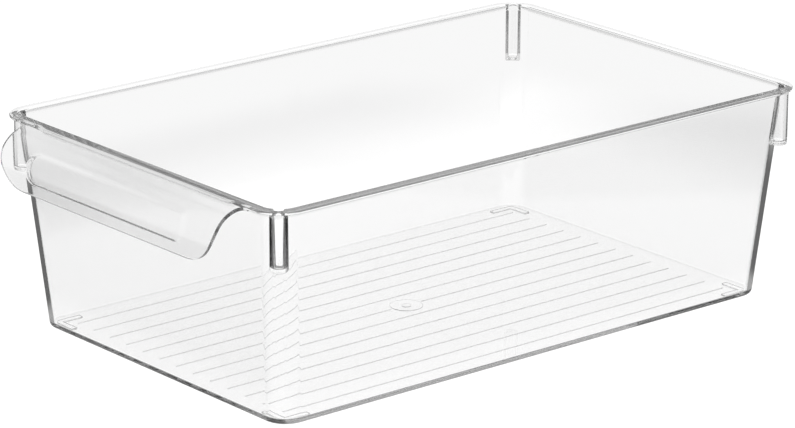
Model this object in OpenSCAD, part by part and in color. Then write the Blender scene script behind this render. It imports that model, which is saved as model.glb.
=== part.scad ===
// Clear fridge bin: a drafted open-top tub with an outward rim flange,
// a curved pull handle on one end, corner stacking lugs and a ribbed floor.
// Millimetres, +Z up, standing on z = 0. +Y runs along the bin away from the
// handle. The origin is under the middle of the bin, its handle included. The
// modules draw round the middle of the tub, and placed() moves them from there.

/* [Tub] */
// Width over the rim, across the bin
rim_width = 208; // [180:1:240]
// Length over the rim, along the bin, without the handle
rim_length = 320; // [260:1:380]
// Height from the table to the top of the rim
total_height = 104; // [90:1:130]
// Lean of the two long side walls from the vertical, in degrees
side_draft = 4.7; // [3:0.1:6]
// Lean of the front and back end walls from the vertical, in degrees
end_draft = 5.1; // [3:0.1:6]
// Thickness of the walls
wall_t = 2.2; // [1.8:0.1:2.8]
// Thickness of the floor, also the radius of its rounded bottom edge
floor_t = 2.2; // [1.8:0.1:3]
// Outer radius of the vertical corners
corner_r = 11.6; // [10:0.1:14]

/* [Rim] */
// How far the flange stands out from the outer face of the walls
rim_overhang = 4.4; // [4:0.1:6]
// Thickness of the flange
rim_t = 1.2; // [1.1:0.1:2]
// Rounding of the flange edges
rim_edge_r = 0.5; // [0.3:0.1:0.6]

/* [Handle] */
// Half of the handle width along its straight sides
handle_half_w = 80; // [60:1:85]
// How far the handle stands out past the rim
handle_reach = 15.5; // [12:0.5:22]
// Height of the handle from its lower edge to the top of the rim
handle_drop = 25.7; // [22:0.1:36]
// Outer radius of the handle's roll
handle_roll_r = 16; // [12:0.5:16]
// How far the highest point of the full roll would lie below the top of the rim
handle_roll_drop = 1.2; // [0.8:0.1:3]
// Radius of the two lower corners of the handle
handle_corner_r = 18; // [10:1:20]
// Radius of the fillet where each handle side meets the rim
handle_fillet_r = 5; // [2:0.5:6]
// Thickness of the handle sheet without its border
handle_t = 1.4; // [1.2:0.1:1.6]
// Extra thickness of the border on the finger side of the sheet
border_t = 0.4; // [0.2:0.1:0.6]
// Half of the width of the thin window inside the border
window_half_w = 58; // [40:1:64]
// Height of the border's lower strip
border_h = 5.6; // [4:0.1:8]
// Height of the thin window inside the border
window_h = 13.5; // [12.5:0.1:14.5]

/* [Stacking lugs] */
// Outside width of a lug
lug_w = 8.2; // [7:0.1:9]
// Width of the channel inside a lug
channel_w = 4.6; // [4:0.1:6]
// Height of a lug, from the top of the rim to its closed bottom
lug_h = 28.4; // [20:0.2:36]
// Gap between the lug and the rim's outer edge
lug_margin = 1.8; // [1.5:0.1:2.6]
// Direction from the rim's corner centre to the lug, from the X axis, in degrees
lug_angle = 42; // [38:1:52]

/* [Floor] */
// Number of ribs under the floor
rib_count = 13; // [5:2:13]
// Distance from one rib to the next
rib_pitch = 12.75; // [10:0.05:12.75]
// Length of a rib
rib_l = 269; // [120:1:270]
// Width of a rib
rib_w = 1.2; // [0.8:0.1:2]
// How far a rib stands down from the underside
rib_h = 0.5; // [0.3:0.1:0.7]
// Diameter of the round pad at the moulding gate
gate_pad_d = 16; // [10:0.5:20]
// Diameter of the gate stub in the middle of the pad
gate_stub_d = 5.6; // [4:0.2:8]
// Height of the feet
foot_h = 1; // [0.8:0.1:2]
// Length of each arm of an L-shaped foot
foot_arm = 14; // [8:0.5:20]
// Width of a foot's arm
foot_w = 2.8; // [2:0.1:4]
// Distance from the foot to the edge of the underside
foot_inset = 5.6; // [4:0.1:8]

/* [Hidden] */
$fn = 64;
CORNERS = [
    ["front_left", -1, -1],
    ["front_right", 1, -1],
    ["back_left", -1, 1],
    ["back_right", 1, 1]
];

// Clear plastic, in three strengths so that neighbouring pieces read apart
clear_body = [0.86, 0.9, 0.93, 0.45];
clear_edge = [0.74, 0.79, 0.83, 0.6];
clear_detail = [0.62, 0.68, 0.73, 0.7];

// Levels, from the table up
floor_bottom_z = foot_h;
floor_top_z = foot_h + floor_t;
wall_top_z = total_height - rim_t;

// Outer faces of the walls, half sizes at their top, just under the flange
top_half_x = rim_width / 2 - rim_overhang;
top_half_y = rim_length / 2 - rim_overhang;
// Half size of the outer faces at a given height
function half_x(z) = top_half_x - (wall_top_z - z) * tan(side_draft);
function half_y(z) = top_half_y - (wall_top_z - z) * tan(end_draft);

// Radius and centre of the rim's outer corners
rim_corner_r = corner_r + rim_overhang;
rim_centre_x = rim_width / 2 - rim_corner_r;
rim_centre_y = rim_length / 2 - rim_corner_r;
// Width of the flange from its outer edge to the inner face of the wall
rim_face_w = rim_overhang + wall_t;

// Lean of the tilted corner axis, seen square to a side wall and to an end wall
axis_lean_side = atan(tan(end_draft) * cos(side_draft));
axis_lean_end = atan(tan(side_draft) * cos(end_draft));
// Angle that the round corner turns through between the two leaning walls
corner_turn = acos(sin(side_draft) * sin(end_draft));
// Sloping length that is long enough to be trimmed at both ends
sheet_l = 1.3 * total_height;

// Stacking lug: distance of its round end's centre from the rim's corner centre
lug_centre = rim_corner_r - lug_margin - lug_w / 2;
lug_bottom_z = total_height - lug_h;
lug_floor_z = lug_bottom_z + (lug_w - channel_w) / 2;

// Handle roll, in the vertical plane along Y
handle_front_y = rim_length / 2 + handle_reach;
handle_low_z = total_height - handle_drop;
roll_centre_y = handle_front_y - handle_roll_r;
roll_centre_z = total_height - handle_roll_r - handle_roll_drop;
root_y = rim_length / 2 - roll_centre_y;
root_z = total_height - roll_centre_z;
// Angle where the straight top run leaves the roll, from the front upwards
roll_end = atan2(root_z, root_y) - acos(handle_roll_r / norm([root_y, root_z]));
window_corner_r = 6;
roll_steps = 24;

// Larger than the whole bin, for trimming
big = 2 * (rim_length + handle_reach);
// A cut runs this far past a face that it has to break through
cut = 1;

// ---- shared shapes ----

// Children copied into one of the four corners, drawn in the back right one
module in_corner(side_x, side_y) {
    mirror([side_x < 0 ? 1 : 0, 0, 0])
        mirror([0, side_y < 0 ? 1 : 0, 0])
            children();
}

// Keeps what lies between two heights
module between(z_low, z_high) {
    intersection() {
        children();
        translate([-big / 2, -big / 2, z_low])
            cube([big, big, z_high - z_low]);
    }
}

// Round stretch of an outline
function arc(cx, cy, r, from, to, steps = 8) =
    [for (i = [0:steps]) let (a = from + (to - from) * i / steps) [cx + r * cos(a), cy + r * sin(a)]];

// ---- floor ----

// Upright section through the floor, with its two lower edges rounded
module floor_section(half_w) {
    polygon(concat(
        [[half_w, floor_t], [-half_w, floor_t]],
        arc(floor_t - half_w, floor_t, floor_t, 180, 270, 12),
        arc(half_w - floor_t, floor_t, floor_t, 270, 360, 12)
    ));
}

module floor_panel() {
    hx = half_x(floor_top_z);
    hy = half_y(floor_top_z);
    color(clear_body) translate([0, 0, floor_bottom_z]) {
        rotate([90, 0, 0])
            linear_extrude(2 * (hy - corner_r), center = true) floor_section(hx);
        rotate([90, 0, 90])
            linear_extrude(2 * (hx - corner_r), center = true) floor_section(hy);
        for (c = CORNERS)
            in_corner(c[1], c[2])
                translate([hx - corner_r, hy - corner_r, 0])
                    rotate_extrude(angle = 90)
                        intersection() {
                            floor_section(corner_r);
                            square([corner_r, floor_t]);
                        }
    }
}

module rib_bar(y_from, y_to) {
    length = y_to - y_from;
    linear_extrude(rib_h) {
        translate([-rib_w / 2, y_from + rib_w / 2])
            square([rib_w, length - rib_w]);
        translate([0, y_from + rib_w / 2])
            circle(d = rib_w);
        translate([0, y_to - rib_w / 2])
            circle(d = rib_w);
    }
}

// One straight rib; the middle one stops short of the gate pad on both sides
module floor_rib(i) {
    x = (i - (rib_count + 1) / 2) * rib_pitch;
    color(clear_detail) translate([x, 0, floor_bottom_z - rib_h]) {
        if (x == 0) {
            rib_bar(-rib_l / 2, -gate_pad_d / 2 - cut);
            rib_bar(gate_pad_d / 2 + cut, rib_l / 2);
        } else {
            rib_bar(-rib_l / 2, rib_l / 2);
        }
    }
}

// Thin round pad with the stub that the moulding gate leaves
module gate_pad() {
    pad_h = 0.4;
    stub_h = 0.8;
    color(clear_detail) {
        translate([0, 0, floor_bottom_z - pad_h])
            cylinder(d = gate_pad_d, h = pad_h);
        translate([0, 0, floor_bottom_z - stub_h])
            cylinder(d = gate_stub_d, h = stub_h - pad_h);
    }
}

// L-shaped foot, its outer corner rounded
module foot(side_x, side_y) {
    corner_x = half_x(floor_bottom_z) - foot_inset;
    corner_y = half_y(floor_bottom_z) - foot_inset;
    color(clear_detail) in_corner(side_x, side_y) translate([corner_x, corner_y, 0])
        linear_extrude(foot_h) {
            difference() {
                translate([-foot_w, -foot_w]) circle(r = foot_w);
                translate([-3 * foot_w, -3 * foot_w]) square([2 * foot_w, 3 * foot_w]);
                translate([-3 * foot_w, -3 * foot_w]) square([3 * foot_w, 2 * foot_w]);
            }
            translate([-foot_arm, -foot_w]) square([foot_arm - foot_w, foot_w]);
            translate([-foot_w, -foot_arm]) square([foot_w, foot_arm - foot_w]);
        }
}

// ---- walls ----

// Long side wall on the +X side: a leaning sheet that ends at the corner axes
module side_sheet() {
    low_y = half_y(floor_bottom_z) - corner_r / cos(end_draft);
    high_y = low_y + sheet_l * tan(axis_lean_side);
    translate([half_x(floor_bottom_z), 0, floor_bottom_z]) rotate([0, side_draft, 0])
        rotate([90, 0, 90]) translate([0, 0, -wall_t]) linear_extrude(wall_t)
            polygon([[-low_y, 0], [low_y, 0], [high_y, sheet_l], [-high_y, sheet_l]]);
}

// End wall on the +Y side, made the same way
module end_sheet() {
    low_x = half_x(floor_bottom_z) - corner_r / cos(side_draft);
    high_x = low_x + sheet_l * tan(axis_lean_end);
    translate([0, half_y(floor_bottom_z), floor_bottom_z]) rotate([-end_draft, 0, 0])
        rotate([90, 0, 0]) linear_extrude(wall_t)
            polygon([[-low_x, 0], [low_x, 0], [high_x, sheet_l], [-high_x, sheet_l]]);
}

module side_wall(side_x) {
    color(clear_body) mirror([side_x < 0 ? 1 : 0, 0, 0])
        between(floor_top_z, wall_top_z) side_sheet();
}

module end_wall(side_y) {
    color(clear_body) mirror([0, side_y < 0 ? 1 : 0, 0])
        between(floor_top_z, wall_top_z) end_sheet();
}

// Children drawn along Z are laid along the leaning axis of the back right corner
module on_corner_axis() {
    translate([
        half_x(floor_bottom_z) - corner_r / cos(side_draft),
        half_y(floor_bottom_z) - corner_r / cos(end_draft),
        floor_bottom_z
    ])
        rotate([0, side_draft, 0]) rotate([-axis_lean_side, 0, 0]) children();
}

// Upright bar of a given width from the rim's corner centre out to the lug, with
// a half-round outer end, from a height up past the top of the rim
module lug_bar(width, low_z) {
    translate([rim_centre_x, rim_centre_y, low_z]) rotate(lug_angle)
        linear_extrude(total_height + cut - low_z) {
            translate([lug_centre, 0]) circle(d = width);
            translate([0, -width / 2]) square([lug_centre, width]);
        }
}

module corner(side_x, side_y) {
    color(clear_edge) in_corner(side_x, side_y) between(floor_top_z, wall_top_z)
        difference() {
            on_corner_axis() rotate_extrude(angle = corner_turn)
                translate([corner_r - wall_t, -total_height / 4]) square([wall_t, sheet_l]);
            lug_bar(channel_w, lug_floor_z);
        }
}

// Hollow upright bulge outside the corner; it rests on the rim of the bin below
module stacking_lug(side_x, side_y) {
    color(clear_edge) in_corner(side_x, side_y) between(lug_bottom_z, wall_top_z)
        difference() {
            lug_bar(lug_w, lug_bottom_z);
            lug_bar(channel_w, lug_floor_z);
            on_corner_axis() translate([0, 0, -total_height / 4])
                cylinder(r = corner_r, h = 2 * sheet_l);
        }
}

// ---- rim ----

// Section through the flange, outer edge at x = 0, with three rounded edges
module rim_section() {
    r = rim_edge_r;
    polygon(concat(
        [[-rim_face_w, 0]],
        arc(-r, r, r, 270, 360),
        arc(-r, rim_t - r, r, 0, 90),
        arc(r - rim_face_w, rim_t - r, r, 90, 180)
    ));
}

module rim_rail(half_l) {
    rotate([90, 0, 0]) linear_extrude(2 * half_l, center = true) rim_section();
}

module side_rim(side_x) {
    color(clear_edge) mirror([side_x < 0 ? 1 : 0, 0, 0])
        translate([rim_width / 2, 0, wall_top_z]) rim_rail(rim_centre_y);
}

module end_rim(side_y) {
    color(clear_edge) mirror([0, side_y < 0 ? 1 : 0, 0])
        translate([0, rim_length / 2, wall_top_z]) {
            rotate(90) rim_rail(rim_centre_x);
            // Square outer edge where the handle grows out of the flange
            if (side_y < 0)
                translate([-handle_half_w - handle_fillet_r, -2 * rim_edge_r, 0])
                    cube([2 * (handle_half_w + handle_fillet_r), 2 * rim_edge_r, rim_t]);
        }
}

module rim_corner(side_x, side_y) {
    color(clear_edge) in_corner(side_x, side_y) difference() {
        translate([rim_centre_x, rim_centre_y, wall_top_z])
            rotate_extrude(angle = 90) translate([rim_corner_r, 0]) rim_section();
        lug_bar(channel_w, lug_floor_z);
    }
}

// ---- handle (drawn on the +Y side and mirrored to the front) ----

// Line of the sheet at a depth below its outer face, from the rim down to the lower edge
function sheet_line(depth) = concat(
    [[rim_length / 2, total_height - depth / sin(roll_end)]],
    arc(roll_centre_y, roll_centre_z, handle_roll_r - depth, roll_end, 0, roll_steps),
    [[handle_front_y - depth, handle_low_z]]
);

function backwards(points) = [for (i = [len(points) - 1:-1:0]) points[i]];

// Slice of the sheet between two depths, as wide as the handle's outline
module handle_sheet(depth_from, depth_to) {
    half_w = handle_half_w + handle_fillet_r;
    intersection() {
        rotate([90, 0, 90]) linear_extrude(2 * half_w, center = true)
            polygon(concat(sheet_line(depth_from), backwards(sheet_line(depth_to))));
        rotate([90, 0, 0]) linear_extrude(big, center = true) handle_front_outline();
        linear_extrude(big) handle_top_outline();
    }
}

// Outline seen from the front: straight sides and two large lower corners
module handle_front_outline() {
    polygon(concat(
        arc(handle_corner_r - handle_half_w, handle_low_z + handle_corner_r, handle_corner_r, 180, 270, 16),
        arc(handle_half_w - handle_corner_r, handle_low_z + handle_corner_r, handle_corner_r, 270, 360, 16),
        [[handle_half_w, total_height], [-handle_half_w, total_height]]
    ));
    translate([-handle_half_w - handle_fillet_r, roll_centre_z + handle_roll_r / 2])
        square([2 * (handle_half_w + handle_fillet_r), handle_roll_r]);
}

// Outline seen from above: straight sides that flare into the rim
module handle_top_outline() {
    root = rim_length / 2;
    polygon(concat(
        arc(handle_half_w + handle_fillet_r, root + handle_fillet_r, handle_fillet_r, 270, 180),
        [[handle_half_w, root + 2 * handle_reach], [-handle_half_w, root + 2 * handle_reach]],
        arc(-handle_half_w - handle_fillet_r, root + handle_fillet_r, handle_fillet_r, 0, -90)
    ));
}

// The thin window in the border, seen from the front
module window_outline() {
    low_z = handle_low_z + border_h;
    x = window_half_w - window_corner_r;
    polygon(concat(
        arc(-x, low_z + window_corner_r, window_corner_r, 180, 270),
        arc(x, low_z + window_corner_r, window_corner_r, 270, 360),
        arc(x, low_z + window_h - window_corner_r, window_corner_r, 0, 90),
        arc(-x, low_z + window_h - window_corner_r, window_corner_r, 90, 180)
    ));
}

module handle_apron() {
    color(clear_body) mirror([0, 1, 0]) handle_sheet(0, handle_t);
}

module handle_border() {
    color(clear_edge) mirror([0, 1, 0]) difference() {
        handle_sheet(handle_t, handle_t + border_t);
        rotate([90, 0, 0]) linear_extrude(big, center = true) window_outline();
    }
}

// ---- pieces ----

// From the middle of the tub to the middle of the bin with its handle
module placed() {
    translate([0, handle_reach / 2, 0]) children();
}

placed() floor_panel();
placed() gate_pad();
for (i = [1:rib_count])
    placed() floor_rib(i);
for (c = CORNERS) {
    placed() foot(c[1], c[2]);
    placed() corner(c[1], c[2]);
    placed() stacking_lug(c[1], c[2]);
    placed() rim_corner(c[1], c[2]);
}
placed() end_wall(-1);  // wall_front
placed() end_wall(1);  // wall_back
placed() side_wall(-1);  // wall_left
placed() side_wall(1);  // wall_right
placed() end_rim(-1);  // rim_front
placed() end_rim(1);  // rim_back
placed() side_rim(-1);  // rim_left
placed() side_rim(1);  // rim_right
placed() handle_apron();
placed() handle_border();
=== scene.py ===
"""Looks of the clear fridge bin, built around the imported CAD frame. Metres, +Z up.

The bin is one injection moulding, so its visible shape is one closed shell of clear
plastic: a wall and rim drawn ring by ring, joined to the handle, ribs, gate and feet.
"""

import math

import bmesh
import bpy
from mathutils import Matrix, Vector


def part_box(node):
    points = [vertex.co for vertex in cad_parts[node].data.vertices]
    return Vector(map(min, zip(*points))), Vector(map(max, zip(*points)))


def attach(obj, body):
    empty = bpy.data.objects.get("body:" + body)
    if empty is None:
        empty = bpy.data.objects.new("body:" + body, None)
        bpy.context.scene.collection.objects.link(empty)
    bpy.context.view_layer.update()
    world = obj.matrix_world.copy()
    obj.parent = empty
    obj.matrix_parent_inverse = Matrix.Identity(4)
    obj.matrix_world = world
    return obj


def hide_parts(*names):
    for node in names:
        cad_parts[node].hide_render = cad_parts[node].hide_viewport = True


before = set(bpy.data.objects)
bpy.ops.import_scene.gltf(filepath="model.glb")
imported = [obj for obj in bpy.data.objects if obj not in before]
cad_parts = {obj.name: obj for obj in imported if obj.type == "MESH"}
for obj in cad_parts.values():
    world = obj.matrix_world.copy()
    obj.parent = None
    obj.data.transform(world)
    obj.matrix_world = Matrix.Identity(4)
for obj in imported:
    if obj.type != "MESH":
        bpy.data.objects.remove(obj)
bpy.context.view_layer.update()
scene = bpy.context.scene

MM = 0.001

# ---- sizes taken from the CAD boxes ----

FRONT_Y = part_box("rim_front")[0].y
BACK_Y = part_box("rim_back")[1].y
TUB_Y = (FRONT_Y + BACK_Y) / 2
RIM_HALF_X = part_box("rim_right")[1].x
RIM_HALF_Y = (BACK_Y - FRONT_Y) / 2
TOP_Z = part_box("rim_back")[1].z
WALL_TOP_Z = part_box("wall_right")[1].z
FLOOR_LOW, FLOOR_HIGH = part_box("floor_panel")
WALL_HALF_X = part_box("wall_right")[1].x
WALL_HALF_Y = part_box("wall_back")[1].y - TUB_Y
# Sideways lean per height of the side walls and of the end walls
LEAN_X = (WALL_HALF_X - FLOOR_HIGH.x) / (WALL_TOP_Z - FLOOR_HIGH.z)
LEAN_Y = (WALL_HALF_Y - (FLOOR_HIGH.y - TUB_Y)) / (WALL_TOP_Z - FLOOR_HIGH.z)
HANDLE_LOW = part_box("handle_apron")[0]
LUG_LOW, LUG_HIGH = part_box("stacking_lug_back_right")
PAD_LOW, PAD_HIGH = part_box("gate_pad")
PAD_R = (PAD_HIGH.x - PAD_LOW.x) / 2

# ---- sizes of details, the same as in the CAD source ----

WALL_T = 2.2 * MM
CORNER_R = 11.6 * MM
EDGE_R = 0.5 * MM
BOTTOM_R = FLOOR_HIGH.z - FLOOR_LOW.z
LUG_R = 4.1 * MM
CHANNEL_R = 2.3 * MM
LUG_ANGLE = math.radians(42)
HANDLE_HALF_W = 80 * MM
HANDLE_ROLL_R = 16 * MM
HANDLE_ROLL_DROP = 1.2 * MM
HANDLE_CORNER_R = 18 * MM
HANDLE_FILLET_R = 5 * MM
HANDLE_T = 1.4 * MM
BORDER_T = 0.4 * MM
BORDER_H = 5.6 * MM
WINDOW_H = 13.5 * MM
WINDOW_HALF_W = 58 * MM
WINDOW_CORNER_R = 6 * MM
FOOT_ARM_W = 2.8 * MM
PAD_T = 0.4 * MM
RIB_TO_PAD = 1 * MM
STUB_R = 2.8 * MM

# ---- sizes that only this model has; the CAD has a plain edge or a step there ----

INNER_BOTTOM_R = 0.8 * MM
FLANGE_FILLET_R = 2.6 * MM
LUG_EDGE_R = 1.1 * MM
CHANNEL_EDGE_R = 0.7 * MM
# The fillet under the flange is this much smaller round a lug
LUG_FILLET_SHARE = 0.35
# The root of the handle's sheet runs back under the flange and curves down into the wall
ROOT_BACK = 5 * MM
ROOT_FRONT = 1.4 * MM
ROOT_R = 6.7 * MM
ROOT_FADE = 14 * MM
HANDLE_EDGE_R = 0.18 * MM
# Half width of the step round the window, at its foot and above, and what its ends add
WINDOW_STEP_LOW = 0.45 * MM
WINDOW_STEP_HIGH = 1.2 * MM
WINDOW_STEP_ENDS = 1 * MM
FOOT_EDGE_R = 0.2 * MM
RIB_EDGE_R = 0.45 * MM
PAD_EDGE_R = 0.15 * MM
STUB_EDGE_R = 0.6 * MM

# ---- how the parts of the mesh are joined ----

# Height over which the wall turns into the closed end of a lug
LUG_STEP = 0.03 * MM
# Half width, at the rim's corner, of the points that a lug below it spreads over
RIM_SPREAD = 5.0 * MM
# The handle's sheet starts this much below the flange's flat top
HANDLE_SUNK = 0.03 * MM
# How far the parts under the floor reach up into it
SUNK = 0.4 * MM
STUB_SUNK = 0.5 * MM
# Points closer than this are one
WELD = 0.002 * MM
SHARP_ANGLE = math.radians(32)
# Above the neutral 50, large faces count for more in an averaged normal
LARGE_FACE_WEIGHT = 100

# ---- the plastic ----

PLASTIC_IOR = 1.57
ROUGHNESS_MAX = 0.012
POLISH_SCALE = 60
POLISH_DETAIL = 3
FLOW_SCALE = 25
FLOW_DETAIL = 1
FLOW_STRENGTH = 0.02
FLOW_HEIGHT = 1 * MM
ABSORPTION = 2.5

# ---- the studio ----

BOARD_DIFFUSE = 0.1
BOARD_ROUGHNESS = 0.6
# Painted brightness, seen directly, then through the plastic: of the board under the bin, beside
# it and beyond, and of the surroundings. The board glows by emission though it is no lamp: a
# painted pool of light under the bin that fades beyond it, and painted a little dimmer through
# the plastic
DIRECT_GLOW = 1.0
PAINTED_GLOW_UNDER_BIN = 1.14
PAINTED_GLOW_BESIDE_BIN = 1.03
PAINTED_GLOW_BEYOND_BIN = 0.86
PAINTED_GLOW_AROUND = 0.95
# Painted brightness in a reflection: of the board near the bin, further out and far off, and of
# the surroundings. These dim reflections paint dark shade along the plastic's edges and
# silhouettes
PAINTED_REFLECTION_NEAR_BOARD = 0.3
PAINTED_DARK_REFLECTION_BOARD = 0.06
PAINTED_REFLECTION_FAR_BOARD = 0.7
PAINTED_REFLECTION_ROOM = 0.75
# Where each brightness of the board gives way to the next, as (start, end) in metres
# outside the bin's footprint
UNDER_TO_BESIDE = (-0.006, 0.006)
BESIDE_TO_BEYOND = (0.08, 0.2)
REFLECTED_NEAR_TO_DARK = (0.01, 0.03)
REFLECTED_DARK_TO_FAR = (0.16, 0.28)
BOARD_SIZE = 6
SOFTBOX_SIZE = 1.2
SOFTBOX_HEIGHT = 1.6
SOFTBOX_WATTS = 3
CAMERA_LENS = 193.35
CAMERA_SENSOR = 36
CAMERA_PLACE = Vector((1468.9, -1221.75, 661.7)) * MM
CAMERA_TARGET = Vector((10.784, -5.93, 53.0)) * MM
CAMERA_ROLL = math.radians(0.162)
CAMERA_CLIP = (0.01, 50)
# Light runs on inside the clear walls for many reflections
LONG_PATH = 160
DIFFUSE_BOUNCES = 3
BLUR_GLOSSY = 0.2

# ---- how finely things are drawn ----

# Points along each stretch of a corner: its arcs, the lug's sides and the lug's round end
ARC_STEPS = 8
SIDE_STEPS = 2
END_STEPS = 12
# Rings round a rounded edge of the tub, and of the handle
ROUND_STEPS = 5
EDGE_STEPS = 4
PROFILE_STEP = 0.5 * MM
# Columns of the handle: wide apart in the middle, fine near the window's ends, then on
# to the side edge
FINE_FROM = 50 * MM
FIXED_TO = 60 * MM
WIDE_COLUMNS = 8
FINE_COLUMNS = 20
SIDE_COLUMNS = 14
BEVEL_STEPS = 3
END_ROUND_STEPS = 6
DISC_STEPS = 48

RIM_CORNER_R = CORNER_R + RIM_HALF_X - WALL_HALF_X
INNER_CORNER_R = CORNER_R - WALL_T
LUG_OUT = Vector((math.cos(LUG_ANGLE), math.sin(LUG_ANGLE)))
LUG_ACROSS = Vector((-LUG_OUT.y, LUG_OUT.x))
LUG_CENTRE = Vector((LUG_HIGH.x - LUG_R, LUG_HIGH.y - TUB_Y - LUG_R))


def half_x(z):
    """Half width of the tub's outer face at a height."""
    return WALL_HALF_X - (WALL_TOP_Z - z) * LEAN_X


def half_y(z):
    return WALL_HALF_Y - (WALL_TOP_Z - z) * LEAN_Y


def mix(a, b, t):
    return a + (b - a) * t


def smooth_step(t):
    t = min(1, max(0, t))
    return t * t * (3 - 2 * t)


# ---- the tub, drawn as a stack of rings ----


def arc_hit(centre, radius, offset):
    """Where a line along the lug's direction, moved sideways, leaves a corner's arc."""
    side = (LUG_CENTRE + LUG_ACROSS * offset - centre).dot(LUG_ACROSS)
    return centre + LUG_ACROSS * side + LUG_OUT * math.sqrt(radius**2 - side**2)


def on_arc(centre, radius, start, end, steps):
    """Points after the first one on an arc between two angles."""
    turns = [mix(start, end, (i + 1) / steps) for i in range(steps)]
    return [centre + radius * Vector((math.cos(a), math.sin(a))) for a in turns]


def on_line(start, end, steps):
    return [start.lerp(end, (i + 1) / steps) for i in range(steps)]


def bulge_ends(centre, radius, spread):
    """Where the bulge of the lug leaves a corner's arc, on either side.

    Returns both places and how far the bulge's round end turns to meet them.
    """
    quarter = math.pi / 2
    near, far = (arc_hit(centre, radius, side * spread) for side in (-1, 1))
    if (near - LUG_CENTRE).dot(LUG_OUT) < 0:
        return near, far, LUG_ANGLE - quarter, LUG_ANGLE + quarter
    to_lug = LUG_CENTRE - centre
    along = (radius**2 - spread**2 + to_lug.length_squared) / (2 * to_lug.length)
    aside = math.sqrt(radius**2 - along**2)
    out = to_lug.normalized()
    across = Vector((-out.y, out.x))
    near, far = (centre + out * along + across * side * aside for side in (-1, 1))
    turns = [math.atan2(p.y - LUG_CENTRE.y, p.x - LUG_CENTRE.x) for p in (near, far)]
    return near, far, *turns


def corner_points(hx, hy, radius, spread, bulged):
    """One corner from the side wall to the end wall, with the lug's bulge or without it."""
    centre = Vector((hx - radius, hy - radius))
    near, far = (arc_hit(centre, radius, side * spread) for side in (-1, 1))
    if bulged:
        near, far, end_from, end_to = bulge_ends(centre, radius, spread)
    near_turn, far_turn = (math.atan2(p.y - centre.y, p.x - centre.x) for p in (near, far))
    points = [centre + Vector((radius, 0))]
    points += on_arc(centre, radius, 0, near_turn, ARC_STEPS)
    if bulged:
        end_start, end_stop = (
            LUG_CENTRE + spread * Vector((math.cos(a), math.sin(a))) for a in (end_from, end_to)
        )
        points += on_line(near, end_start, SIDE_STEPS)
        points += on_arc(LUG_CENTRE, spread, end_from, end_to, END_STEPS)
        points += on_line(end_stop, far, SIDE_STEPS)
    else:
        points += on_arc(centre, radius, near_turn, far_turn, 2 * SIDE_STEPS + END_STEPS)
    return points + on_arc(centre, radius, far_turn, math.pi / 2, ARC_STEPS)


def ring(z, hx, hy, radius, spread, bulged=False):
    """Closed outline round the tub at a height, anticlockwise from above."""
    corner = corner_points(hx, hy, radius, spread, bulged)
    points = []
    for side_x, side_y in ((1, 1), (-1, 1), (-1, -1), (1, -1)):
        turned = corner if side_x * side_y > 0 else corner[::-1]
        points += [(side_x * p.x, side_y * p.y + TUB_Y, z) for p in turned]
    return points


def outer_rings():
    """From the underside out round the bottom edge and up the outer faces to the flange."""
    centre_z = FLOOR_LOW.z + BOTTOM_R
    lean = math.atan((LEAN_X + LEAN_Y) / 2)
    rings = []
    for i in range(ROUND_STEPS + 1):
        turn = mix(math.pi / 2, lean, i / ROUND_STEPS)
        inset = BOTTOM_R * (1 - math.cos(turn))
        z = centre_z - BOTTOM_R * math.sin(turn)
        hx, hy = half_x(centre_z) - inset, half_y(centre_z) - inset
        rings.append(ring(z, hx, hy, CORNER_R - inset, LUG_R - LUG_EDGE_R))
    rings += lug_rings(LUG_LOW.z, LUG_R, LUG_EDGE_R, half_x, half_y, CORNER_R)
    for i in range(ROUND_STEPS + 1):
        turn = math.pi / 2 * i / ROUND_STEPS
        out = FLANGE_FILLET_R * (1 - math.cos(turn))
        z = WALL_TOP_Z - FLANGE_FILLET_R * (1 - math.sin(turn))
        spread = LUG_R + out * LUG_FILLET_SHARE
        hx, hy = half_x(z) + out, half_y(z) + out
        rings.append(ring(z, hx, hy, CORNER_R + out, spread, True))
    return rings


def lug_rings(low_z, lug_r, edge_r, hx, hy, radius):
    """Closed lower end of a lug or of its channel, from the plain wall below it upwards."""
    below_z = low_z - LUG_STEP
    rings = [ring(below_z, hx(below_z), hy(below_z), radius, lug_r - edge_r)]
    for i in range(ROUND_STEPS + 1):
        turn = math.pi / 2 * (1 - i / ROUND_STEPS)
        z = low_z + edge_r * (1 - math.sin(turn))
        spread = lug_r - edge_r * (1 - math.cos(turn))
        rings.append(ring(z, hx(z), hy(z), radius, spread, True))
    return rings


def rim_rings():
    """Round the flange from its underside to its flat top, all edges rounded."""
    rings = []
    for centre_z, start in ((WALL_TOP_Z + EDGE_R, -math.pi / 2), (TOP_Z - EDGE_R, 0)):
        for i in range(ROUND_STEPS + 1):
            turn = start + math.pi / 2 * i / ROUND_STEPS
            inset = EDGE_R * (1 - math.cos(turn))
            z = centre_z + EDGE_R * math.sin(turn)
            hx, hy = RIM_HALF_X - inset, RIM_HALF_Y - inset
            rings.append(ring(z, hx, hy, RIM_CORNER_R - inset, RIM_SPREAD))
    for i in range(ROUND_STEPS + 1):
        turn = math.pi / 2 * i / ROUND_STEPS
        wider = EDGE_R * (1 - math.sin(turn))
        z = TOP_Z - EDGE_R * (1 - math.cos(turn))
        hx, hy = inner_x(WALL_TOP_Z) + wider, inner_y(WALL_TOP_Z) + wider
        rings.append(ring(z, hx, hy, INNER_CORNER_R + wider, CHANNEL_R + wider, True))
    return rings


def inner_x(z):
    """Half width of the tub's inner face at a height."""
    return half_x(z) - WALL_T * math.sqrt(1 + LEAN_X**2)


def inner_y(z):
    return half_y(z) - WALL_T * math.sqrt(1 + LEAN_Y**2)


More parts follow.
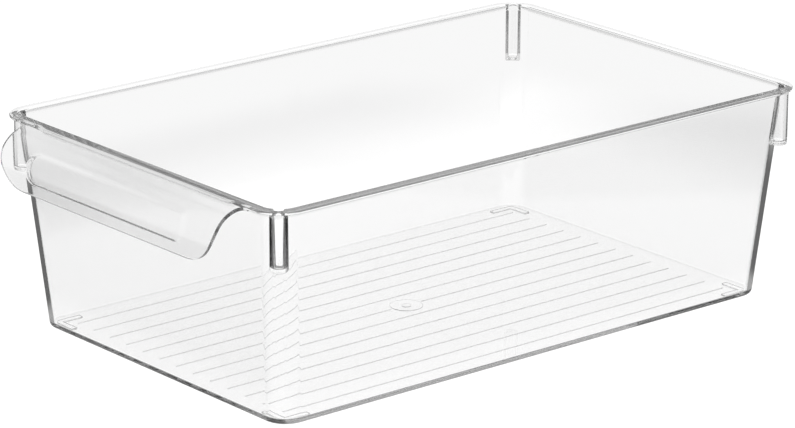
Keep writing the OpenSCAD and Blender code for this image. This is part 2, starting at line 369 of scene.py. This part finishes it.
def inner_rings():
    """Down the inner faces from the rim and round the inside edge of the floor."""
    hx, hy = inner_x(WALL_TOP_Z), inner_y(WALL_TOP_Z)
    rings = [ring(WALL_TOP_Z, hx, hy, INNER_CORNER_R, CHANNEL_R, True)]
    low_z = LUG_LOW.z + LUG_R - CHANNEL_R
    channel = lug_rings(low_z, CHANNEL_R, CHANNEL_EDGE_R, inner_x, inner_y, INNER_CORNER_R)
    rings += channel[::-1]
    centre_z = FLOOR_HIGH.z + INNER_BOTTOM_R
    lean = math.atan((LEAN_X + LEAN_Y) / 2)
    for i in range(ROUND_STEPS + 1):
        turn = mix(lean, math.pi / 2, i / ROUND_STEPS)
        inset = INNER_BOTTOM_R * (1 - math.cos(turn))
        z = centre_z - INNER_BOTTOM_R * math.sin(turn)
        hx, hy = inner_x(centre_z) - inset, inner_y(centre_z) - inset
        rings.append(ring(z, hx, hy, INNER_CORNER_R - inset, CHANNEL_R - CHANNEL_EDGE_R))
    return rings


def stacked(name, rings):
    """Closed solid from rings of equal length, its first and last ring capped."""
    count = len(rings[0])
    faces = [tuple(range(count - 1, -1, -1))]
    for k in range(len(rings) - 1):
        low, high = k * count, (k + 1) * count
        for i in range(count):
            j = (i + 1) % count
            faces.append((low + i, low + j, high + j, high + i))
    last = (len(rings) - 1) * count
    faces.append(tuple(range(last, last + count)))
    return mesh_object(name, [p for r in rings for p in r], faces)


def mesh_object(name, points, faces):
    mesh = bpy.data.meshes.new(name)
    mesh.from_pydata([tuple(p) for p in points], [], faces)
    mesh.validate()
    made = bpy.data.objects.new(name, mesh)
    scene.collection.objects.link(made)
    return made


# ---- the handle, a curved sheet with a thin window in its finger side ----


def handle_profile():
    """Outer line of the sheet from inside the flange down to its lower edge.

    Each row is (distance in front of the tub's middle, height, outward normal there).
    """
    front = TUB_Y - HANDLE_LOW.y
    centre = Vector((front - HANDLE_ROLL_R, TOP_Z - HANDLE_ROLL_R - HANDLE_ROLL_DROP))
    root = Vector((RIM_HALF_Y, TOP_Z - HANDLE_SUNK))
    to_root = root - centre
    roll_end = math.atan2(to_root.y, to_root.x) - math.acos(HANDLE_ROLL_R / to_root.length)
    up = Vector((0, 1))
    slope = Vector((math.cos(roll_end), math.sin(roll_end)))
    back_steps = round(ROOT_BACK / PROFILE_STEP)
    rows = [(root - Vector((PROFILE_STEP * i, 0)), up) for i in range(back_steps, 0, -1)]
    rows.append((root, (up + slope).normalized()))
    run_end = centre + HANDLE_ROLL_R * slope
    run_steps = round((run_end - root).length / PROFILE_STEP)
    rows += [(p, slope) for p in on_line(root, run_end, run_steps)]
    roll_steps = round(HANDLE_ROLL_R * roll_end / PROFILE_STEP)
    for p in on_arc(centre, HANDLE_ROLL_R, roll_end, 0, roll_steps):
        rows.append((p, (p - centre).normalized()))
    low = Vector((front, HANDLE_LOW.z))
    drop_steps = round((rows[-1][0].y - low.y) / PROFILE_STEP)
    rows += [(p, Vector((1, 0))) for p in on_line(rows[-1][0], low, drop_steps)]
    return rows


def handle_half_width(point):
    """Half width of the handle's outline at a point of its profile."""
    above_low = point.y - HANDLE_LOW.z
    if above_low < HANDLE_CORNER_R:
        lack = max(0, HANDLE_CORNER_R - above_low)
        return HANDLE_HALF_W - HANDLE_CORNER_R + math.sqrt(max(0, HANDLE_CORNER_R**2 - lack**2))
    out = min(max(point.x - RIM_HALF_Y, 0), HANDLE_FILLET_R)
    lack = HANDLE_FILLET_R - out
    return HANDLE_HALF_W + HANDLE_FILLET_R - math.sqrt(HANDLE_FILLET_R**2 - lack**2)


def window_depth(x, z):
    """How much thinner the sheet is at a point seen from the front: the window's recess."""
    low = HANDLE_LOW.z + BORDER_H
    middle = low + WINDOW_H / 2
    out_x = abs(x) - (WINDOW_HALF_W - WINDOW_CORNER_R)
    out_z = abs(z - middle) - (WINDOW_H / 2 - WINDOW_CORNER_R)
    corner = math.hypot(max(out_x, 0), max(out_z, 0))
    outside = corner + min(max(out_x, out_z), 0) - WINDOW_CORNER_R
    end_share = smooth_step((abs(x) - WINDOW_HALF_W) / WINDOW_CORNER_R + 1)
    up_share = smooth_step((z - low) / WINDOW_CORNER_R)
    step = mix(WINDOW_STEP_LOW, WINDOW_STEP_HIGH, up_share) + WINDOW_STEP_ENDS * end_share
    return BORDER_T * smooth_step((1 - outside / step) / 2)


def root_depth(x, place):
    """Extra thickness under the flange, where the sheet's root curves down into the wall."""
    back = max(0, RIM_HALF_Y + ROOT_FRONT - place.x)
    end_share = smooth_step((HANDLE_HALF_W - abs(x)) / ROOT_FADE)
    return (ROOT_R - math.sqrt(ROOT_R**2 - back**2)) * end_share


def handle_columns():
    """Places across the handle: (fixed x, share of the way from there to the side edge)."""
    half = [(FINE_FROM * i / WIDE_COLUMNS, 0) for i in range(WIDE_COLUMNS)]
    half += [(mix(FINE_FROM, FIXED_TO, i / FINE_COLUMNS), 0) for i in range(FINE_COLUMNS + 1)]
    half += [(FIXED_TO, (i + 1) / SIDE_COLUMNS) for i in range(SIDE_COLUMNS)]
    left = [(-x, -share) for x, share in half[:0:-1]]
    return left + half


def handle_x(column, half_w):
    fixed, share = column
    if share == 0:
        return fixed
    return math.copysign(mix(abs(fixed), half_w, abs(share)), share)


def handle_point(row, column, inset, depth):
    """Point of the sheet at a depth below its outer face, inset from its free edges.

    The depth is a function of the place across and the point of the profile.
    """
    place, normal = HANDLE_ROWS[row]
    if row == len(HANDLE_ROWS) - 1:
        place = place + Vector((0, inset))
    half_w = handle_half_width(HANDLE_ROWS[row][0]) - inset
    x = handle_x(HANDLE_COLUMNS[column], half_w)
    inner = place - normal * depth(x, place)
    return (x, TUB_Y - inner.x, inner.y)


def finger_side(x, place):
    """Depth of the sheet's inner face, with the window in it and the thick root."""
    return HANDLE_T + BORDER_T - window_depth(x, place.y) + root_depth(x, place)


def handle_border():
    """Rows and columns of the sheet's border, once round."""
    last_row, last_column = len(HANDLE_ROWS) - 1, len(HANDLE_COLUMNS) - 1
    around = [(0, j) for j in range(last_column + 1)]
    around += [(i, last_column) for i in range(1, last_row + 1)]
    around += [(last_row, j) for j in range(last_column - 1, -1, -1)]
    return around + [(i, 0) for i in range(last_row - 1, 0, -1)]


def edge_rounds():
    """The rounded edge from the outer face to the inner one, as pairs of (inset, depth)."""
    outer = []
    for k in range(EDGE_STEPS + 1):
        turn = math.pi / 2 * k / EDGE_STEPS
        outer.append((HANDLE_EDGE_R * (1 - math.sin(turn)), HANDLE_EDGE_R * (1 - math.cos(turn))))
    inner = [(inset, HANDLE_T + BORDER_T - depth) for inset, depth in reversed(outer)]
    return outer[1:] + inner[:-1]


def build_handle():
    """The sheet as two grids, joined round their borders by a rounded edge."""
    row_count, wide = len(HANDLE_ROWS), len(HANDLE_COLUMNS)
    around = handle_border()
    points, loops = [], []

    def add_points(cells, inset, depth):
        start = len(points)
        points.extend(handle_point(i, j, inset, depth) for i, j in cells)
        return start

    cells = [(i, j) for i in range(row_count) for j in range(wide)]
    outer = add_points(cells, HANDLE_EDGE_R, lambda x, place: 0)
    inner = add_points(cells, HANDLE_EDGE_R, finger_side)
    loops.append([outer + i * wide + j for i, j in around])
    for inset, depth in edge_rounds():
        start = add_points(around, inset, lambda x, place: depth)
        loops.append(range(start, start + len(around)))
    loops.append([inner + i * wide + j for i, j in around])

    faces = []
    for i in range(row_count - 1):
        for j in range(wide - 1):
            a, b = i * wide + j, (i + 1) * wide + j
            faces.append((outer + a, outer + b, outer + b + 1, outer + a + 1))
            faces.append((inner + a, inner + a + 1, inner + b + 1, inner + b))
    for one, two in zip(loops, loops[1:]):
        for k in range(len(one)):
            n = (k + 1) % len(one)
            faces.append((one[k], one[n], two[n], two[k]))
    return mesh_object("handle", points, faces)


HANDLE_ROWS = handle_profile()
HANDLE_COLUMNS = handle_columns()


# ---- small solids under the floor ----


def prism(outline, z_low, z_high, edge_r):
    """Upright solid with that outline; its lower edges are rounded."""
    bm = bmesh.new()
    base = bm.faces.new([bm.verts.new((x, y, z_low)) for x, y in outline])
    raised = bmesh.ops.extrude_face_region(bm, geom=[base])
    tops = [v for v in raised["geom"] if isinstance(v, bmesh.types.BMVert)]
    bmesh.ops.translate(bm, verts=tops, vec=(0, 0, z_high - z_low))
    bmesh.ops.recalc_face_normals(bm, faces=bm.faces)
    low_edges = [e for e in bm.edges if all(v.co.z < z_low + edge_r / 2 for v in e.verts)]
    bmesh.ops.bevel(
        bm,
        geom=low_edges,
        offset=edge_r,
        segments=BEVEL_STEPS,
        affect="EDGES",
        clamp_overlap=True,
    )
    mesh = bpy.data.meshes.new("prism")
    bm.to_mesh(mesh)
    bm.free()
    made = bpy.data.objects.new("prism", mesh)
    scene.collection.objects.link(made)
    return made


def arc_outline(x, y, r, start, end, steps):
    """Points on an arc, both ends among them."""
    turns = [mix(start, end, i / steps) for i in range(steps + 1)]
    return [(x + r * math.cos(turn), y + r * math.sin(turn)) for turn in turns]


def bar_outline(low, high):
    """Stadium shape that fills a box along Y."""
    r = (high.x - low.x) / 2
    x = (high.x + low.x) / 2
    outline = arc_outline(x, high.y - r, r, 0, math.pi, END_ROUND_STEPS)
    return outline + arc_outline(x, low.y + r, r, math.pi, 2 * math.pi, END_ROUND_STEPS)


def disc_outline(r):
    """Circle round the middle of the floor."""
    return arc_outline(0, TUB_Y, r, 0, 2 * math.pi, DISC_STEPS)[:-1]


def foot_outline(low, high):
    """L shape in the foot's box, its rounded corner towards the bin's corner."""
    length_x, length_y = high.x - low.x, high.y - low.y
    corner_x, corner_y = length_x - FOOT_ARM_W, length_y - FOOT_ARM_W
    shape = [(0, length_y), (0, corner_y), (corner_x, corner_y), (corner_x, 0), (length_x, 0)]
    shape += arc_outline(corner_x, corner_y, FOOT_ARM_W, 0, math.pi / 2, END_ROUND_STEPS)
    side_x = 1 if high.x > 0 else -1
    side_y = 1 if high.y > TUB_Y else -1
    base_x = low.x if side_x > 0 else high.x
    base_y = low.y if side_y > 0 else high.y
    placed = [(base_x + side_x * x, base_y + side_y * y) for x, y in shape]
    return placed if side_x * side_y > 0 else placed[::-1]


def underside_parts():
    """Ribs, feet and the gate's pad, each reaching a little up into the floor."""
    sunk = FLOOR_LOW.z + SUNK
    parts = []
    for name in sorted(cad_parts):
        low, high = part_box(name)
        if name.startswith("floor_rib_"):
            for piece_low, piece_high in rib_pieces(low, high):
                outline = bar_outline(piece_low, piece_high)
                parts.append(prism(outline, low.z, sunk, RIB_EDGE_R))
        if name.startswith("foot_"):
            parts.append(prism(foot_outline(low, high), low.z, sunk, FOOT_EDGE_R))
    parts.append(prism(disc_outline(PAD_R), FLOOR_LOW.z - PAD_T, sunk, PAD_EDGE_R))
    return parts


def rib_pieces(low, high):
    """A rib's box, or the two boxes of the middle rib, which stops short of the gate."""
    if high.x * low.x > 0:
        return [(low, high)]
    gap = PAD_R + RIB_TO_PAD
    return [
        (low, Vector((high.x, TUB_Y - gap, high.z))),
        (Vector((low.x, TUB_Y + gap, low.z)), high),
    ]


def union(target, parts):
    """Joins separate closed solids to the target with an exact union, and removes them."""
    bpy.ops.object.select_all(action="DESELECT")
    for part in parts:
        part.select_set(True)
    bpy.context.view_layer.objects.active = parts[0]
    if len(parts) > 1:
        bpy.ops.object.join()
    tool = bpy.context.view_layer.objects.active
    joined = target.modifiers.new("union", "BOOLEAN")
    joined.operation = "UNION"
    joined.solver = "EXACT"
    joined.object = tool
    bake_modifiers(target)
    bpy.data.objects.remove(tool)


def bake_modifiers(target):
    """Replaces a mesh by what its modifiers make of it."""
    evaluated = target.evaluated_get(bpy.context.evaluated_depsgraph_get())
    mesh = bpy.data.meshes.new_from_object(evaluated)
    target.modifiers.clear()
    target.data = mesh


def weld(target):
    """Joins points that the unions left on top of each other."""
    bm = bmesh.new()
    bm.from_mesh(target.data)
    bmesh.ops.remove_doubles(bm, verts=bm.verts, dist=WELD)
    bmesh.ops.dissolve_degenerate(bm, edges=bm.edges, dist=WELD)
    bmesh.ops.recalc_face_normals(bm, faces=bm.faces)
    bm.to_mesh(target.data)
    bm.free()


def build_bin():
    """The whole moulding as one closed mesh."""
    shell = stacked("clear_bin", outer_rings() + rim_rings() + inner_rings())
    union(shell, underside_parts())
    stub_top = FLOOR_LOW.z + STUB_SUNK
    union(shell, [prism(disc_outline(STUB_R), PAD_LOW.z, stub_top, STUB_EDGE_R)])
    union(shell, [build_handle()])
    weld(shell)
    shell.data.shade_smooth()
    shell.data.set_sharp_from_angle(angle=SHARP_ANGLE)
    weighted = shell.modifiers.new("flat_faces_stay_flat", "WEIGHTED_NORMAL")
    weighted.mode = "FACE_AREA"
    weighted.weight = LARGE_FACE_WEIGHT
    weighted.keep_sharp = True
    bake_modifiers(shell)
    return shell


# ---- materials ----


def new_material(name):
    material = bpy.data.materials.new(name)
    material.use_nodes = True
    nodes = material.node_tree.nodes
    return material, nodes, material.node_tree.links, nodes["Principled BSDF"]


def noise(nodes, links, scale, detail):
    """Noise laid out in the object's own space."""
    place = nodes.new("ShaderNodeTexCoord")
    made = nodes.new("ShaderNodeTexNoise")
    made.inputs["Scale"].default_value = scale
    made.inputs["Detail"].default_value = detail
    links.new(place.outputs["Object"], made.inputs["Vector"])
    return made.outputs["Fac"]


def ranged(nodes, links, source, span, low, high, smooth="SMOOTHSTEP"):
    """Change from one value to another while the source runs over a span."""
    made = nodes.new("ShaderNodeMapRange")
    made.interpolation_type = smooth
    for name, value in zip(("From Min", "From Max", "To Min", "To Max"), (*span, low, high)):
        made.inputs[name].default_value = value
    links.new(source, made.inputs["Value"])
    return made.outputs["Result"]


def clear_plastic():
    """Polished clear polystyrene: hardly any tint, which long paths through it add up."""
    material, nodes, links, shader = new_material("clear_plastic")
    shader.inputs["Base Color"].default_value = (1, 1, 1, 1)
    shader.inputs["Transmission Weight"].default_value = 1
    shader.inputs["IOR"].default_value = PLASTIC_IOR
    polish = noise(nodes, links, POLISH_SCALE, POLISH_DETAIL)
    rough = ranged(nodes, links, polish, (0, 1), 0, ROUGHNESS_MAX, "LINEAR")
    links.new(rough, shader.inputs["Roughness"])
    flow = noise(nodes, links, FLOW_SCALE, FLOW_DETAIL)
    bump = nodes.new("ShaderNodeBump")
    bump.inputs["Strength"].default_value = FLOW_STRENGTH
    bump.inputs["Distance"].default_value = FLOW_HEIGHT
    links.new(flow, bump.inputs["Height"])
    links.new(bump.outputs["Normal"], shader.inputs["Normal"])
    tint = nodes.new("ShaderNodeVolumeAbsorption")
    tint.inputs["Color"].default_value = (0, 0, 0, 1)
    tint.inputs["Density"].default_value = ABSORPTION
    links.new(tint.outputs["Volume"], nodes["Material Output"].inputs["Volume"])
    return material


def feed(links, value, socket):
    """Sets a socket to a plain number, or links it to another socket."""
    if isinstance(value, (int, float)):
        socket.default_value = value
    else:
        links.new(value, socket)


def math_node(nodes, links, operation, a, b):
    """A Math node fed by sockets or plain numbers."""
    made = nodes.new("ShaderNodeMath")
    made.operation = operation
    for value, socket in zip((a, b), made.inputs):
        feed(links, value, socket)
    return made.outputs["Value"]


def blended(nodes, links, share, low, high):
    """Mix of two values or sockets by a share between 0 and 1."""
    made = nodes.new("ShaderNodeMix")
    links.new(share, made.inputs["Factor"])
    feed(links, low, made.inputs["A"])
    feed(links, high, made.inputs["B"])
    return made.outputs["Result"]


def painted_studio_glow(nodes, links, direct, through, painted_reflection):
    """Painted brightness of the studio: as seen directly, as seen through clear plastic, and
    painted dim in reflections, which paints dark shade on the plastic's edges.
    """
    path = nodes.new("ShaderNodeLightPath")
    reflected = math_node(nodes, links, "MINIMUM", path.outputs["Glossy Depth"], 1.0)
    seen = blended(nodes, links, path.outputs["Is Camera Ray"], through, direct)
    return blended(nodes, links, reflected, seen, painted_reflection)


def beyond_bin(nodes, links):
    """How far a point of the board lies outside the bin's footprint; negative under it."""
    place = nodes.new("ShaderNodeTexCoord")
    split = nodes.new("ShaderNodeSeparateXYZ")
    links.new(place.outputs["Object"], split.inputs["Vector"])
    sides = []
    for axis, half in (("X", FLOOR_HIGH.x), ("Y", FLOOR_HIGH.y - TUB_Y)):
        size = math_node(nodes, links, "ABSOLUTE", split.outputs[axis], 0)
        sides.append(math_node(nodes, links, "SUBTRACT", size, half))
    return math_node(nodes, links, "MAXIMUM", *sides)


def floor_material():
    """White board with painted light: it glows by emission, a painted pool of light under the
    bin, dimmer beyond it, and painted dark in reflections, which paints shade on the plastic's
    edges.
    """
    material, nodes, links, shader = new_material("painted_glow_board")
    shader.inputs["Base Color"].default_value = (*[BOARD_DIFFUSE] * 3, 1)
    shader.inputs["Specular IOR Level"].default_value = 0
    shader.inputs["Roughness"].default_value = BOARD_ROUGHNESS
    away = beyond_bin(nodes, links)
    near = ranged(nodes, links, away, UNDER_TO_BESIDE, PAINTED_GLOW_UNDER_BIN, PAINTED_GLOW_BESIDE_BIN)
    painted_falloff = ranged(nodes, links, away, BESIDE_TO_BEYOND, 1, PAINTED_GLOW_BEYOND_BIN / PAINTED_GLOW_BESIDE_BIN)
    through = math_node(nodes, links, "MULTIPLY", near, painted_falloff)
    # Painted reflection: the board is dark in reflections, which paints shade on the plastic's
    # edges
    dark = (PAINTED_REFLECTION_NEAR_BOARD, PAINTED_DARK_REFLECTION_BOARD)
    close = ranged(nodes, links, away, REFLECTED_NEAR_TO_DARK, *dark)
    far_share = ranged(nodes, links, away, REFLECTED_DARK_TO_FAR, 0, 1)
    painted_reflection = blended(nodes, links, far_share, close, PAINTED_REFLECTION_FAR_BOARD)
    glow = painted_studio_glow(nodes, links, DIRECT_GLOW, through, painted_reflection)
    # Painted light: the board glows by emission, brighter under the bin than beyond it
    shader.inputs["Emission Color"].default_value = (1, 1, 1, 1)
    links.new(glow, shader.inputs["Emission Strength"])
    return material


# ---- studio ----


def build_floor():
    bm = bmesh.new()
    bmesh.ops.create_grid(bm, x_segments=1, y_segments=1, size=BOARD_SIZE)
    mesh = bpy.data.meshes.new("studio_floor")
    bm.to_mesh(mesh)
    bm.free()
    floor = bpy.data.objects.new("studio_floor", mesh)
    floor.location.y = TUB_Y
    scene.collection.objects.link(floor)
    floor.data.materials.append(floor_material())


def build_world():
    world = bpy.data.worlds.new("studio")
    world.use_nodes = True
    nodes, links = world.node_tree.nodes, world.node_tree.links
    background = nodes["Background"]
    background.inputs["Color"].default_value = (1, 1, 1, 1)
    # Painted light: the surroundings are a little dimmer through the plastic and painted dim in
    # reflections, which paints shade on the plastic's edges
    glow = painted_studio_glow(nodes, links, DIRECT_GLOW, PAINTED_GLOW_AROUND, PAINTED_REFLECTION_ROOM)
    links.new(glow, background.inputs["Strength"])
    scene.world = world


def build_light():
    data = bpy.data.lights.new("overhead_softbox", "AREA")
    data.shape = "RECTANGLE"
    data.size = SOFTBOX_SIZE
    data.size_y = SOFTBOX_SIZE
    data.energy = SOFTBOX_WATTS
    light = bpy.data.objects.new("overhead_softbox", data)
    light.location.z = SOFTBOX_HEIGHT
    scene.collection.objects.link(light)


def build_camera():
    """A long lens, from the handle's right and a little above the rim."""
    data = bpy.data.cameras.new("camera")
    data.lens = CAMERA_LENS
    data.sensor_width = CAMERA_SENSOR
    data.clip_start, data.clip_end = CAMERA_CLIP
    camera = bpy.data.objects.new("camera", data)
    aim = (CAMERA_TARGET - CAMERA_PLACE).to_track_quat("-Z", "Y").to_matrix().to_4x4()
    roll = Matrix.Rotation(CAMERA_ROLL, 4, "Z")
    camera.matrix_world = Matrix.Translation(CAMERA_PLACE) @ aim @ roll
    scene.collection.objects.link(camera)
    scene.camera = camera


def set_light_paths():
    """Light paths long enough for the clear walls and the rim."""
    cycles = scene.cycles
    cycles.max_bounces = LONG_PATH
    cycles.transmission_bounces = LONG_PATH
    cycles.glossy_bounces = LONG_PATH
    cycles.diffuse_bounces = DIFFUSE_BOUNCES
    cycles.caustics_reflective = True
    cycles.caustics_refractive = True
    cycles.blur_glossy = BLUR_GLOSSY
    scene.view_settings.view_transform = "Standard"


build_camera()
build_world()
build_light()
build_floor()
set_light_paths()

plastic = clear_plastic()
shell = build_bin()
shell.data.materials.clear()
shell.data.materials.append(plastic)
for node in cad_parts.values():
    node.data.materials.clear()
    node.data.materials.append(plastic)
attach(shell, "root")
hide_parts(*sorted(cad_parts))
